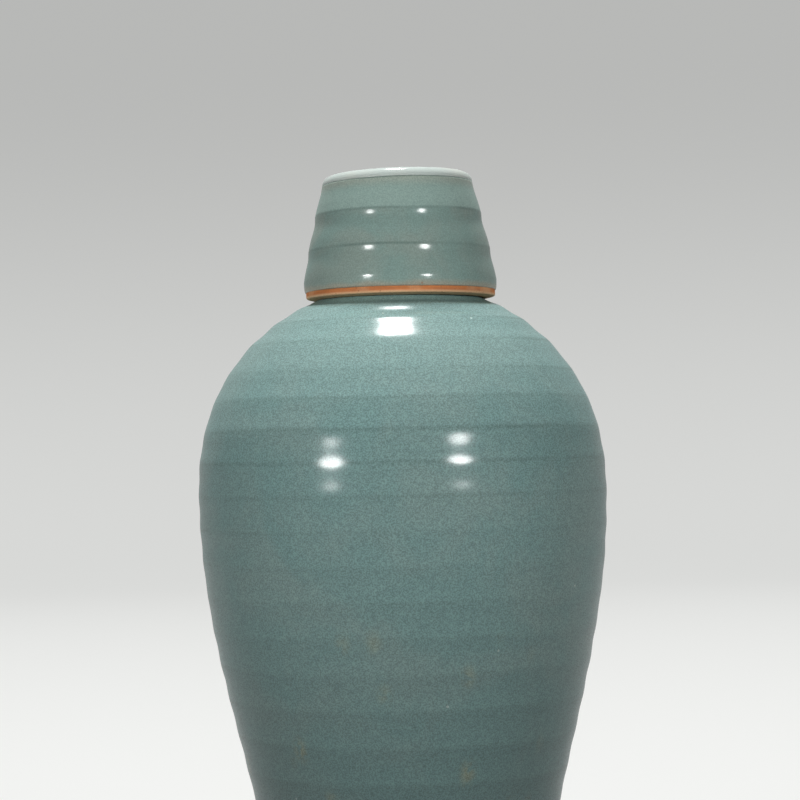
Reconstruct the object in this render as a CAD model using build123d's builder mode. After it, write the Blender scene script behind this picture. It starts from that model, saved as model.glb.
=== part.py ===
from build123d import *
import os
from math import cos, hypot, pi, sqrt

# Covered meiping vase: a high-shouldered stoneware vase, thrown in sections and luted together,
# with a lid shaped like a cup turned over its neck.
# Millimetres, +Z up, origin under the middle of the foot. Every piece is round about the Z axis,
# so each section is drawn as (radius, height) and revolved.

# Body outline, at the surface of the glaze
belly_radius = 85.0
belly_height = 215.0
foot_radius = 52.0
dome_height = 86.3  # from the belly to where the shoulder's curve would close on the axis
dome_fullness = 2.2  # 2 makes the shoulder an ellipse, more makes it squarer

# Throwing rings: ridges one pitch apart, shallow hollows between them
ring_pitch = 11.6  # at the neck's root
ring_pitch_growth = 0.22  # added ring by ring towards the foot
ring_depth = 0.35

# Clay walls, joining slip and glaze coats of the vase
body_wall = 6.5
floor_thickness = 9.0
floor_corner = 12.0
slip_thickness = 0.5
glaze_thickness = 1.0
liner_thickness = 0.8

# Foot ring
foot_ring_height = 6.0
foot_ring_width = 9.5
foot_edge = 1.2

# Neck, which stands inside the lid
throat_radius = 15.0
neck_wall = 4.7
neck_cove = 2.6  # how far the neck's root spreads on the shoulder
waist_rise = 4.5  # from the root to the narrowest place
lip_roll = 2.6
lip_clearance = 5.0  # from the lip out to the lid's wall
lip_headroom = 23.5  # from the lip up to the lid's ceiling

# Lid, with heights from its rim
lid_height = 53.7
lid_belly_radius = 40.3
lid_belly_rise = 7.9
lid_crown_radius = 31.4  # where the wall meets the white edge
lid_edge = 4.2  # rounding of the white edge
lid_dome_rise = 0.6
lid_bow = 0.6  # how far the wall swells outside a straight taper
lid_ring_count = 3
lid_ring_depth = 0.4
lid_wall = 4.5
lid_ceiling_thickness = 5.0
lid_corner = 6.0
lid_rim_edge = 0.8
lid_glaze_thickness = 0.8
lid_glaze_lip = 0.3  # the coat's thickness where it stops above the bare rim
lid_liner_thickness = 0.6
lid_bare_rim = 3.4
lid_bare_inside = 5.0
seat_clearance = 0.3  # between the lid's rim and the shoulder

STEPS_ALONG_OUTLINE = 2000
SLOPE_STEP = 0.01


def outline_radius(height):
    """Radius of the body's outline: a cosine taper up to the belly, then a domed shoulder."""
    if height <= belly_height:
        swing = cos(pi * (belly_height - height) / belly_height)
        return foot_radius + (belly_radius - foot_radius) * (1 + swing) / 2
    rise = (height - belly_height) / dome_height
    return belly_radius * sqrt(1 - rise**dome_fullness)


def shoulder_height(radius):
    """Height of the shoulder's outline at a radius."""
    share = 1 - (radius / belly_radius) ** 2
    return belly_height + dome_height * share ** (1 / dome_fullness)


def outward(height):
    """Unit vector square to the outline, pointing away from the clay."""
    rise = 2 * SLOPE_STEP
    run = outline_radius(height + SLOPE_STEP) - outline_radius(height - SLOPE_STEP)
    return Vector(rise, -run) / hypot(rise, run)


def on_outline(height, depth):
    """The outline's point at a height, sunk square into the wall by a depth."""
    return Vector(outline_radius(height), height) - outward(height) * depth


# Heights and radii that follow from the sizes above
clay_depth = glaze_thickness + body_wall
liner_depth = clay_depth + liner_thickness
base_height = foot_ring_height + slip_thickness
floor_height = base_height + floor_thickness
liner_floor = floor_height + liner_thickness

throat_clay_radius = throat_radius + liner_thickness
waist_radius = throat_clay_radius + neck_wall + glaze_thickness
root_radius = waist_radius + neck_cove
root_height = shoulder_height(root_radius)
waist_height = root_height + waist_rise
neck_seam = on_outline(root_height, glaze_thickness)

lid_clay_radius = lid_belly_radius - lid_glaze_thickness
lid_bore_radius = lid_clay_radius - lid_wall
seat_height = shoulder_height(lid_bore_radius + lid_rim_edge)
lid_base = seat_height + (seat_clearance + lid_rim_edge) / outward(seat_height).Y - lid_rim_edge
lid_belly = lid_base + lid_belly_rise
lid_glaze_line = lid_base + lid_bare_rim
lid_top = lid_base + lid_height - lid_dome_rise
lid_edge_height = lid_top - lid_edge
lid_clay_top = lid_top - lid_glaze_thickness
lid_ceiling = lid_clay_top - lid_ceiling_thickness


def lid_radius(height):
    """Radius of the lid's glazed wall between its belly and the white edge."""
    share = (height - lid_belly) / (lid_edge_height - lid_belly)
    taper = (lid_belly_radius - lid_crown_radius) * share
    return lid_belly_radius - taper + 4 * lid_bow * share * (1 - share)


lid_ceiling_radius = lid_radius(lid_ceiling) - lid_glaze_thickness - lid_wall
lip_height = lid_ceiling - lid_liner_thickness - lip_headroom
bore_taper = (lid_bore_radius - lid_ceiling_radius) / (lid_ceiling - lid_belly)
lid_bore_at_lip = lid_bore_radius - bore_taper * (lip_height - lid_belly) - lid_liner_thickness
lip_radius = lid_bore_at_lip - lip_clearance
roll_radius = lip_radius - lip_roll
roll_height = lip_height - lip_roll


def ring_heights():
    """Heights of the throwing rings, from the neck's root down to the glaze line, evenly opening out."""
    fall = (root_height - base_height) / STEPS_ALONG_OUTLINE
    heights = [root_height - fall * step for step in range(STEPS_ALONG_OUTLINE + 1)]
    lengths = [0.0]
    for upper, lower in zip(heights, heights[1:]):
        lengths.append(lengths[-1] + hypot(outline_radius(upper) - outline_radius(lower), fall))
    pitches = [ring_pitch]
    while sum(pitches) + pitches[-1] / 2 < lengths[-1]:
        pitches.append(pitches[-1] + ring_pitch_growth)
    stretch = lengths[-1] / sum(pitches)
    rings = [root_height]
    for count in range(1, len(pitches)):
        reach = stretch * sum(pitches[:count])
        rings.append(next(h for h, length in zip(heights, lengths) if length >= reach))
    return rings + [base_height]


# The belly's seam lies on the ring nearest the widest place, with the slip just above it
rings_upwards = sorted(ring_heights())
belly_seam = min(rings_upwards, key=lambda height: abs(height - belly_height))
lower_rings = [height for height in rings_upwards if height <= belly_seam]
upper_rings = [belly_seam + slip_thickness] + [height for height in rings_upwards if height > belly_seam]
cavity_rings = [height for height in lower_rings if height > floor_height + floor_corner]


def ring_arcs(heights, depth):
    """Draws the wall's line at a depth, one shallow arc from each ring to the next."""
    for low, high in zip(heights, heights[1:]):
        hollow = on_outline((low + high) / 2, depth + ring_depth)
        ThreePointArc(on_outline(low, depth), hollow, on_outline(high, depth))


def belly_slip_edge(depth):
    """Draws the short line across the belly's slip."""
    Line(on_outline(belly_seam, depth), on_outline(belly_seam + slip_thickness, depth))


def cavity_floor(depth, height, corner):
    """Draws the foot of the cavity's wall and the floor, in to the axis."""
    wall = on_outline(cavity_rings[0], depth)
    FilletPolyline(wall, (outline_radius(height) - depth, height), (0, height), radius=corner)


def cavity_opening(depth, radius, top):
    """Draws the underside of the shoulder's hole and the wall of the throat above it."""
    shoulder = on_outline(root_height, depth)
    Polyline(shoulder, (radius, shoulder.Y), (radius, top))


def neck_outside(depth, root):
    """Draws the neck's outside: the cove at the root, the flare and the rolled lip up to its crest."""
    roll = lip_roll - depth
    waist = (waist_radius - depth, waist_height)
    under_lip = (roll_radius, roll_height - roll)
    TangentArc(waist, root, tangent=(0, -1))
    TangentArc(waist, under_lip, tangent=(0, 1))
    ThreePointArc(under_lip, (roll_radius + roll, roll_height), (roll_radius, roll_height + roll))


def mouth_foot(radius, crest):
    """Height at which the mouth's flare runs into a throat of this radius."""
    return crest - (roll_radius - radius)


def mouth_flare(radius, crest):
    """Draws the quarter round from the lip's crest in to the throat."""
    TangentArc((roll_radius, crest), (radius, mouth_foot(radius, crest)), tangent=(-1, 0))


def lid_ring_arcs(depth):
    """Draws the lid's wall line at a depth, one shallow arc from each ring to the next."""
    pitch = (lid_edge_height - lid_belly) / lid_ring_count
    for ring in range(lid_ring_count):
        low = lid_belly + pitch * ring
        middle = low + pitch / 2
        high = low + pitch
        hollow = (lid_radius(middle) - depth - lid_ring_depth, middle)
        ThreePointArc((lid_radius(low) - depth, low), hollow, (lid_radius(high) - depth, high))


def lid_crown(depth):
    """Draws the lid's rounded top edge and its slightly domed top, in to the axis."""
    edge = (lid_crown_radius - lid_edge, lid_top - depth)
    TangentArc(edge, (lid_crown_radius - depth, lid_edge_height), tangent=(1, 0))
    TangentArc((0, lid_top + lid_dome_rise - depth), edge, tangent=(1, 0))


def lid_inside(depth, foot):
    """Draws the lid's ceiling and inner wall, down to a height near the rim."""
    ceiling = lid_ceiling - depth
    taper_foot = (lid_bore_radius - depth, lid_belly)
    corner = (lid_ceiling_radius - depth, ceiling)
    FilletPolyline((0, ceiling), corner, taper_foot, radius=lid_corner - depth)
    Line(taper_foot, (lid_bore_radius - depth, foot))


os.makedirs("parts", exist_ok=True)
clay_crest = lip_height - glaze_thickness
neck_base = neck_seam + Vector(0, slip_thickness)
foot_clay_radius = foot_radius - glaze_thickness
base_clay = on_outline(base_height, glaze_thickness)
foot_top_radius = base_clay.X
foot_bore_radius = foot_clay_radius - foot_ring_width

with BuildPart() as foot_ring:
    with BuildSketch(Plane.XZ):
        with BuildLine():
            Polyline(
                (foot_bore_radius, 0),
                (foot_clay_radius, 0),
                (foot_top_radius, foot_ring_height),
                (foot_bore_radius, foot_ring_height),
                close=True,
            )
        make_face()
    revolve(axis=Axis.Z)
    fillet(foot_ring.edges().group_by(Axis.Z)[0], foot_edge)
foot_ring.part.label = "foot_ring"
export_step(foot_ring.part, "parts/foot_ring.step")

with BuildPart() as foot_slip:
    with BuildSketch(Plane.XY.offset(foot_ring_height)):
        Circle(foot_top_radius)
        Circle(foot_bore_radius, mode=Mode.SUBTRACT)
    extrude(amount=slip_thickness)
foot_slip.part.label = "foot_slip"
export_step(foot_slip.part, "parts/foot_slip.step")

with BuildPart() as lower_body:
    with BuildSketch(Plane.XZ):
        with BuildLine():
            ring_arcs(lower_rings, glaze_thickness)
            ring_arcs(cavity_rings, clay_depth)
            cavity_floor(clay_depth, floor_height, floor_corner)
            Line(on_outline(belly_seam, glaze_thickness), on_outline(belly_seam, clay_depth))
            Polyline((0, floor_height), (0, base_clay.Y), base_clay)
        make_face()
    revolve(axis=Axis.Z)
lower_body.part.label = "lower_body"
export_step(lower_body.part, "parts/lower_body.step")

with BuildPart() as belly_slip:
    with BuildSketch(Plane.XZ):
        with BuildLine():
            belly_slip_edge(glaze_thickness)
            belly_slip_edge(clay_depth)
            Line(on_outline(belly_seam, glaze_thickness), on_outline(belly_seam, clay_depth))
            Line(on_outline(upper_rings[0], glaze_thickness), on_outline(upper_rings[0], clay_depth))
        make_face()
    revolve(axis=Axis.Z)
belly_slip.part.label = "belly_slip"
export_step(belly_slip.part, "parts/belly_slip.step")

with BuildPart() as upper_body:
    with BuildSketch(Plane.XZ):
        with BuildLine():
            ring_arcs(upper_rings, glaze_thickness)
            ring_arcs(upper_rings, clay_depth)
            Line(on_outline(upper_rings[0], glaze_thickness), on_outline(upper_rings[0], clay_depth))
            cavity_opening(clay_depth, throat_clay_radius, neck_seam.Y)
            Line((throat_clay_radius, neck_seam.Y), neck_seam)
        make_face()
    revolve(axis=Axis.Z)
upper_body.part.label = "upper_body"
export_step(upper_body.part, "parts/upper_body.step")

with BuildPart() as neck_slip:
    with BuildSketch(Plane.XY.offset(neck_seam.Y)):
        Circle(neck_seam.X)
        Circle(throat_clay_radius, mode=Mode.SUBTRACT)
    extrude(amount=slip_thickness)
neck_slip.part.label = "neck_slip"
export_step(neck_slip.part, "parts/neck_slip.step")

with BuildPart() as neck:
    with BuildSketch(Plane.XZ):
        with BuildLine():
            neck_outside(glaze_thickness, neck_base)
            mouth_flare(throat_clay_radius, clay_crest)
            Polyline(
                (throat_clay_radius, mouth_foot(throat_clay_radius, clay_crest)),
                (throat_clay_radius, neck_base.Y),
                neck_base,
            )
        make_face()
    revolve(axis=Axis.Z)
neck.part.label = "neck"
export_step(neck.part, "parts/neck.step")

with BuildPart() as outer_glaze:
    with BuildSketch(Plane.XZ):
        with BuildLine():
            for depth in (0, glaze_thickness):
                ring_arcs(lower_rings, depth)
                belly_slip_edge(depth)
                ring_arcs(upper_rings, depth)
            neck_outside(0, on_outline(root_height, 0))
            neck_outside(glaze_thickness, neck_base)
            Line(neck_seam, neck_base)
            Line((roll_radius, lip_height), (roll_radius, clay_crest))
            Line(on_outline(base_height, 0), base_clay)
        make_face()
    revolve(axis=Axis.Z)
outer_glaze.part.label = "outer_glaze"
export_step(outer_glaze.part, "parts/outer_glaze.step")

with BuildPart() as inner_glaze:
    with BuildSketch(Plane.XZ):
        with BuildLine():
            for depth in (clay_depth, liner_depth):
                ring_arcs(cavity_rings, depth)
                belly_slip_edge(depth)
                ring_arcs(upper_rings, depth)
            for radius, depth, crest in (
                (throat_clay_radius, clay_depth, clay_crest),
                (throat_radius, liner_depth, lip_height),
            ):
                cavity_opening(depth, radius, mouth_foot(radius, crest))
                mouth_flare(radius, crest)
            cavity_floor(clay_depth, floor_height, floor_corner)
            cavity_floor(liner_depth, liner_floor, floor_corner - liner_thickness)
            Line((0, floor_height), (0, liner_floor))
            Line((roll_radius, lip_height), (roll_radius, clay_crest))
        make_face()
    revolve(axis=Axis.Z)
inner_glaze.part.label = "inner_glaze"
export_step(inner_glaze.part, "parts/inner_glaze.step")

with BuildPart() as lid_cup:
    with BuildSketch(Plane.XZ):
        with BuildLine():
            lid_ring_arcs(lid_glaze_thickness)
            lid_crown(lid_glaze_thickness)
            lid_inside(0, lid_base)
            Line((0, lid_clay_top + lid_dome_rise), (0, lid_ceiling))
            Polyline((lid_bore_radius, lid_base), (lid_clay_radius, lid_base), (lid_clay_radius, lid_belly))
        make_face()
    revolve(axis=Axis.Z)
    fillet(lid_cup.edges().group_by(Axis.Z)[0], lid_rim_edge)
lid_cup.part.label = "lid_cup"
export_step(lid_cup.part, "parts/lid_cup.step")

with BuildPart() as lid_celadon_glaze:
    with BuildSketch(Plane.XZ):
        with BuildLine():
            lid_ring_arcs(0)
            lid_ring_arcs(lid_glaze_thickness)
            coat_foot = (lid_clay_radius + lid_glaze_lip, lid_glaze_line)
            TangentArc((lid_belly_radius, lid_belly), coat_foot, tangent=(0, -1))
            Polyline(coat_foot, (lid_clay_radius, lid_glaze_line), (lid_clay_radius, lid_belly))
            Line(
                (lid_crown_radius, lid_edge_height),
                (lid_crown_radius - lid_glaze_thickness, lid_edge_height),
            )
        make_face()
    revolve(axis=Axis.Z)
lid_celadon_glaze.part.label = "lid_celadon_glaze"
export_step(lid_celadon_glaze.part, "parts/lid_celadon_glaze.step")

with BuildPart() as lid_white_glaze:
    with BuildSketch(Plane.XZ):
        with BuildLine():
            lid_crown(0)
            lid_crown(lid_glaze_thickness)
            Line((0, lid_top + lid_dome_rise), (0, lid_clay_top + lid_dome_rise))
            Line(
                (lid_crown_radius, lid_edge_height),
                (lid_crown_radius - lid_glaze_thickness, lid_edge_height),
            )
        make_face()
    revolve(axis=Axis.Z)
lid_white_glaze.part.label = "lid_white_glaze"
export_step(lid_white_glaze.part, "parts/lid_white_glaze.step")

with BuildPart() as lid_inner_glaze:
    with BuildSketch(Plane.XZ):
        with BuildLine():
            liner_foot = lid_base + lid_bare_inside
            lid_inside(0, liner_foot)
            lid_inside(lid_liner_thickness, liner_foot)
            Line((0, lid_ceiling), (0, lid_ceiling - lid_liner_thickness))
            Line((lid_bore_radius, liner_foot), (lid_bore_radius - lid_liner_thickness, liner_foot))
        make_face()
    revolve(axis=Axis.Z)
lid_inner_glaze.part.label = "lid_inner_glaze"
export_step(lid_inner_glaze.part, "parts/lid_inner_glaze.step")
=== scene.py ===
from math import cos, hypot, pi, radians, sin, sqrt

import bpy
import numpy as np
from bpy.props import FloatProperty, FloatVectorProperty, IntProperty, PointerProperty
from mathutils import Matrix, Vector


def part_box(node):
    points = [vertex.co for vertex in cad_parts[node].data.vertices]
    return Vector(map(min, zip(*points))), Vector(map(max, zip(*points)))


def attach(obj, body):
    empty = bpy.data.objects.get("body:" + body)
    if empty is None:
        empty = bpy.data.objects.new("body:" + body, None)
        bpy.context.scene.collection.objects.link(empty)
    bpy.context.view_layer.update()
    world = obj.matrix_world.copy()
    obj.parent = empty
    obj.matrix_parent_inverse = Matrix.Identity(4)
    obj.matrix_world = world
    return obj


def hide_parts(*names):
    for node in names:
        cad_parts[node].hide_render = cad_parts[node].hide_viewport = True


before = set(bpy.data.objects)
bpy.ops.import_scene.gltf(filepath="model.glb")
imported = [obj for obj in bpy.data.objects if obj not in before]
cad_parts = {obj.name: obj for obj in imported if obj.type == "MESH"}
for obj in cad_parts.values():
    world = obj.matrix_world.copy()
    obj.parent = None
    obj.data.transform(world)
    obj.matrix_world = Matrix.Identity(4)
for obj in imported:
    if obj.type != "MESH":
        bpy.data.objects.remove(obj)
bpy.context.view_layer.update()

bl_info = {
    "name": "Covered Celadon Vase",
    "version": (1, 0, 0),
    "blender": (4, 5, 0),
    "location": "View3D > Sidebar > Vase",
    "description": "Turns the glazes, clay and lid of a covered meiping vase and sets them on a stage",
    "category": "Mesh",
}

MM = 0.001
TURN = 2 * pi
PLATE_SIZE = 2 * MM  # side of the plane that an outline's first point is made from
MERGE_DISTANCE = 0.002 * MM
SLOPE_STEP = 0.01 * MM  # how far above and below a point the outline's slope is taken
STEPS_ALONG_OUTLINE = 2000

# Faces along small curves and round the backdrop
EDGE_SAMPLES = 6
ROLL_SAMPLES = 8
SWEEP_SAMPLES = 16
BACKDROP_STEPS = 96

# How the rings were fingered: starts and spans are shares of the belly's height or of the dome's
CREEP_START = 0.56  # on the dome, where the rings start to crowd up to the neck
FALL_END = 0.4  # under the belly, where the bands start to get shallower on the way up
FALL_SPAN = 0.45
SHOULDER_START = 0.64  # on the dome, where they start to get deeper again
SHOULDER_SPAN = 0.2
DOME_END = 0.99  # on the dome, above which its outline isn't followed
OUTER_SKIN = 0.25  # share of the coat within which a point belongs to the outer face
UNEVENNESS = 0.25  # how much the depth of a pair of bands changes on its way round
PAIR_PHASE = 2.4  # how far that change is shifted from pair to pair, in radians
MARK_GAIN = 1.6  # what the deeply fingered pair gains
MID_BAND = 0.5  # share of the way up a band at which the painted band shade neither lightens nor darkens

# Soft noise: its middle, and in the shapes its grain and the lengths over which it sets in
NOISE_MIDDLE = 0.5
SWAY_GRAIN = 70 * MM
WOBBLE_GRAIN = 45 * MM
LID_SWAY_GRAIN = 40 * MM
STILL_FOOT = 20 * MM  # from the glaze line up
STILL_NECK = 60 * MM  # from the neck's root down
STILL_LID = 0.1  # from both ends of the lid's celadon, as a share of its height
LID_FOOT_SWAY = 0.25  # what there is of it at the lid's glaze line

# Heights between which the wear of a clay edge ends, and how far they wander
FOOT_WEAR = (0.0, 1.2 * MM)
RIM_WEAR = (0.9 * MM, 2.1 * MM)  # above the lid's rim
NO_WEAR = (-1.0, 0.0)  # under the vase
WEAR_WANDER = 0.8 * MM

# Bare clay and slip: how much the grit lightens and darkens, its share of the relief, and the depth
GRIT_CONTRAST = 0.4
GRIT_SHARE = 0.6
CLAY_RELIEF = 0.12 * MM
SLIP_RELIEF = 0.1 * MM

# Glaze: grain of its bubbles, curds and dimples, their depth in millimetres, and its clear coat
GLAZE_GRAIN = 0.55 * MM
CURD_GRAIN = 5 * GLAZE_GRAIN
PEEL_GRAIN = 7 * MM
GRAIN_DEPTH = 0.007
PEEL_DEPTH = 0.04
CURD_SHARE = 0.5
SPECKLE_MEAN = 0.75  # of the grain and its share of curds
COAT_WEIGHT = 0.45
COAT_IOR = 1.7
COAT_ROUGHNESS = 0.15

# Levels of soft noise between which a blend runs
GRAIN_LEVELS = (0.33, 0.67)
CLOUD_LEVELS = (0.36, 0.64)
WIDE_LEVELS = (0.3, 0.7)

# Heights on the body between which its glaze changes: painted sheen on the shoulder, painted shade
# towards the foot and in the bands, and ochre stains low down
SHEEN_SHOULDER = (0.235, 0.275)
SHADED_FOOT = (0.06, 0.2)
SHADED_BANDS = (0.12, 0.23)
STAINED_FOOT = (0.15, 0.17)

# Where marks are full and where they end: from a ring in millimetres, the rest as shares of a cell
RING_LINE = (0.1, 1.5)
LID_RING_LINE = (0.1, 0.9)
FINE_LINE = (0.02, 0.16)
COARSE_LINE = (0.005, 0.045)
SMALL_DOT = (0.02, 0.05)
FINE_SHARE = 0.55  # what the fine lines give to the crackle
SHADE_STEP = 0.02  # between the shades of a bare cell and a marked one

BACKDROP_GLOW = 0.75  # share of the backdrop's look that is its own light

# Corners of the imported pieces, from which the sizes start
COAT_LOW, COAT_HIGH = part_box("outer_glaze")
LINER_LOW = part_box("inner_glaze")[0]
FOOT_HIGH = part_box("foot_ring")[1]
LID_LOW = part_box("lid_cup")[0]
LID_COAT_LOW, LID_COAT_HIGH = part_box("lid_celadon_glaze")
CROWN_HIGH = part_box("lid_white_glaze")[1]
LID_LINER_LOW, LID_LINER_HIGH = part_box("lid_inner_glaze")


def length(name, description, default):
    """A size in metres."""
    return FloatProperty(
        name=name,
        description=description,
        default=default,
        precision=5,
        subtype="DISTANCE",
        unit="LENGTH",
    )


def angle(name, description, degrees):
    """An angle, given in degrees and kept in radians."""
    return FloatProperty(
        name=name, description=description, default=radians(degrees), subtype="ANGLE", unit="ROTATION"
    )


def number(name, description, default):
    """A plain number."""
    return FloatProperty(name=name, description=description, default=default)


def count(name, description, default, least):
    """A whole number."""
    return IntProperty(name=name, description=description, default=default, min=least)


def linear(channel):
    """One channel of a screen colour, 0 to 255, as linear light."""
    share = channel / 255
    return share / 12.92 if share <= 0.04045 else ((share + 0.055) / 1.055) ** 2.4


def colour(name, description, red, green, blue):
    """A colour, given as a screen shows it."""
    default = (linear(red), linear(green), linear(blue))
    return FloatVectorProperty(
        name=name, description=description, default=default, size=3, min=0, max=1, subtype="COLOR"
    )


class VaseSizes(bpy.types.PropertyGroup):
    """Sizes of the vase, at the surface of its glaze."""

    belly_radius: length("Belly radius", "Greatest radius of the body", COAT_HIGH.x)
    belly_height: length("Belly height", "Height of the greatest radius", 215 * MM)
    foot_radius: length("Foot radius", "Radius that the body tapers to", 52 * MM)
    dome_height: length("Dome height", "From the belly to where the shoulder would close", 86.3 * MM)
    dome_fullness: number("Dome fullness", "2 is an ellipse, more is squarer", 2.2)
    glaze_line: length("Glaze line", "Height at which the coat stops above the foot", COAT_LOW.z)
    coat: length("Coat", "Thickness of the outer glaze", 1.0 * MM)
    wall: length("Wall", "Thickness of the clay", 6.5 * MM)
    liner: length("Liner", "Thickness of the inner glaze", 0.8 * MM)
    floor_height: length("Floor height", "Top of the clay floor", LINER_LOW.z)
    floor_corner: length("Floor corner", "Rounding between the floor and the wall", 12 * MM)
    ring_pitch: length("Ring pitch", "From one throwing ring to the next at the neck", 11.6 * MM)
    ring_growth: length("Ring growth", "What each pitch gains towards the foot", 0.22 * MM)
    ring_creep: length("Ring creep", "How far the rings on the shoulder crowd up to the neck", 2.6 * MM)
    ring_depth: length("Ring depth", "How far the deepest bands sink between the rings", 0.3 * MM)
    ring_softness: number("Ring softness", "1 makes sharp ridges, 2 an even wave", 2.0)
    ring_fall: number("Ring fall", "How much deeper the bands are low on the body", 1.3)
    ring_front: number("Ring front", "What is left of the bands at the front and back", 0.52)
    ring_shoulder: number("Ring shoulder", "How much deeper the bands are high on the shoulder", 2.1)
    mark_height: length("Mark height", "Upper ring of two deeply fingered bands", 240 * MM)
    ring_sway: length("Ring sway", "How far the rings wander up and down", 1.2 * MM)
    wall_wobble: length("Wall wobble", "How far the wall strays in and out", 0.4 * MM)
    throat_radius: length("Throat radius", "Radius of the mouth's bore", 15 * MM)
    waist_radius: length("Waist radius", "Narrowest place of the neck", 21.5 * MM)
    root_radius: length("Root radius", "Where the neck meets the shoulder", 24.1 * MM)
    waist_rise: length("Waist rise", "From the neck's root up to its waist", 4.5 * MM)
    lip_radius: length("Lip radius", "Greatest radius of the rolled lip", 26.11 * MM)
    lip_roll: length("Lip roll", "Radius of the lip's roll", 2.6 * MM)
    lip_height: length("Lip height", "Crest of the lip", COAT_HIGH.z)
    foot_width: length("Foot width", "Width of the foot ring", 9.5 * MM)
    foot_edge: length("Foot edge", "Rounding of the foot ring", 1.2 * MM)
    steps: count("Steps", "Faces round the vase", 240, least=24)
    band_samples: count("Band samples", "Faces from ring to ring", 12, least=4)


class LidSizes(bpy.types.PropertyGroup):
    """Sizes of the lid, at the surface of its glaze."""

    belly_radius: length("Belly radius", "Greatest radius, near the rim", LID_COAT_HIGH.x)
    crown_radius: length("Crown radius", "Radius under the white edge", CROWN_HIGH.x)
    rim_height: length("Rim height", "Underside of the bare rim", LID_LOW.z)
    belly_rise: length("Belly rise", "From the rim up to the greatest radius", 7.9 * MM)
    glaze_line: length("Glaze line", "Where the celadon stops above the bare rim", LID_COAT_LOW.z)
    glaze_lip: length("Glaze lip", "The coat's thickness at the glaze line", 0.3 * MM)
    edge_height: length("Edge height", "Where the celadon meets the white edge", LID_COAT_HIGH.z)
    edge_rounding: length("Edge rounding", "Radius of the white edge", 3.8 * MM)
    dome_rise: length("Dome rise", "How far the top is domed", 0.6 * MM)
    top: length("Top", "Highest point of the lid", CROWN_HIGH.z)
    bow: length("Bow", "How far the wall swells outside a straight taper", 0.6 * MM)
    lower_ring: length("Lower ring", "Height of the lower ring", 315.2 * MM)
    upper_ring: length("Upper ring", "Height of the upper ring", 330.2 * MM)
    ring_depth: length("Ring depth", "How far the middle band sinks", 0.62 * MM)
    low_band: number("Low band", "Share of that depth in the band above the belly", 0.65)
    top_band: number("Top band", "Share of that depth under the white edge", 0.4)
    ring_softness: number("Ring softness", "1 makes sharp ridges, 2 an even wave", 1.45)
    ring_overhang: number("Ring overhang", "1 is even, more sinks the bands nearer their upper ring", 1.9)
    ring_sway: length("Ring sway", "How far the rings wander up and down", 0.8 * MM)
    coat: length("Coat", "Thickness of the outer glazes", 0.8 * MM)
    wall: length("Wall", "Thickness of the clay", 4.5 * MM)
    rim_edge: length("Rim edge", "Rounding of the bare rim", 0.8 * MM)
    rim_bevel: length("Rim bevel", "How far the rim's underside rises outwards", 0.7 * MM)
    ceiling: length("Ceiling", "Underside of the clay top", LID_LINER_HIGH.z)
    ceiling_corner: length("Ceiling corner", "Rounding inside the top", 6 * MM)
    liner: length("Liner", "Thickness of the inner glaze", 0.6 * MM)
    liner_foot: length("Liner foot", "Where the inner glaze stops above the rim", LID_LINER_LOW.z)
    shift: length("Shift", "How far the lid sits to the right", 0.75 * MM)
    tilt: length("Tilt", "How much taller the right side is than the left", 1.9 * MM)
    lean: length("Lean", "How far the top leans to the left", 0.7 * MM)
    tip: length("Tip", "How much taller the front is than the back", 1.4 * MM)
    sink: length("Sink", "How far the top has settled", 0.6 * MM)
    steps: count("Steps", "Faces round the lid", 192, least=24)
    band_samples: count("Band samples", "Faces from ring to ring", 16, least=4)


class Finishes(bpy.types.PropertyGroup):
    """Colours of the glazes and the clay."""

    celadon: colour("Celadon", "Blue-green of the body's glaze", 124, 158, 155)
    # Also painted sheen: this colour greys the shoulder
    celadon_grey: colour("Grey celadon", "Greyer clouds in the glaze", 133, 160, 156)
    # Also painted shade: this colour deepens the body towards the foot, besides where the glaze lies
    # thick
    celadon_deep: colour("Deep celadon", "Where the glaze lies thick", 114, 150, 148)
    ring_line: colour("Ring line", "The thin line along a ring", 92, 116, 110)
    crackle: colour("Crackle", "Fine lines in the glaze", 86, 113, 111)
    stain: colour("Stain", "Ochre smudges low on the body", 156, 160, 130)
    fleck: colour("Fleck", "Tiny pale marks in the glaze", 204, 220, 216)
    lid_celadon: colour("Lid celadon", "Grey-green of the lid's glaze", 130, 156, 149)
    # Painted light: the paler colour of the lid's top band
    lid_lit_top: colour("Lid pale", "Where the lid's glaze runs thin under the white edge", 150, 175, 167)
    lid_fringe: colour("Lid fringe", "Where the white edge clouds the glaze below it", 168, 178, 166)
    lid_celadon_grey: colour("Lid grey", "Warmer clouds in the lid's glaze", 138, 156, 148)
    thin_glaze: colour("Thin glaze", "Where the clay warms a thin coat", 166, 154, 134)
    white: colour("White", "The lid's top", 202, 208, 200)
    white_thick: colour("Thick white", "Where the white lies thick", 195, 206, 201)
    liner: colour("Liner", "Glaze inside", 134, 153, 142)
    clay: colour("Bare clay", "Fired orange clay", 208, 126, 68)
    clay_pale: colour("Pale clay", "Worn edges of the clay", 226, 188, 148)
    clay_dark: colour("Dark clay", "Iron specks and scorching", 150, 84, 46)
    slip: colour("Slip", "Joining slip between the sections", 186, 140, 104)


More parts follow.
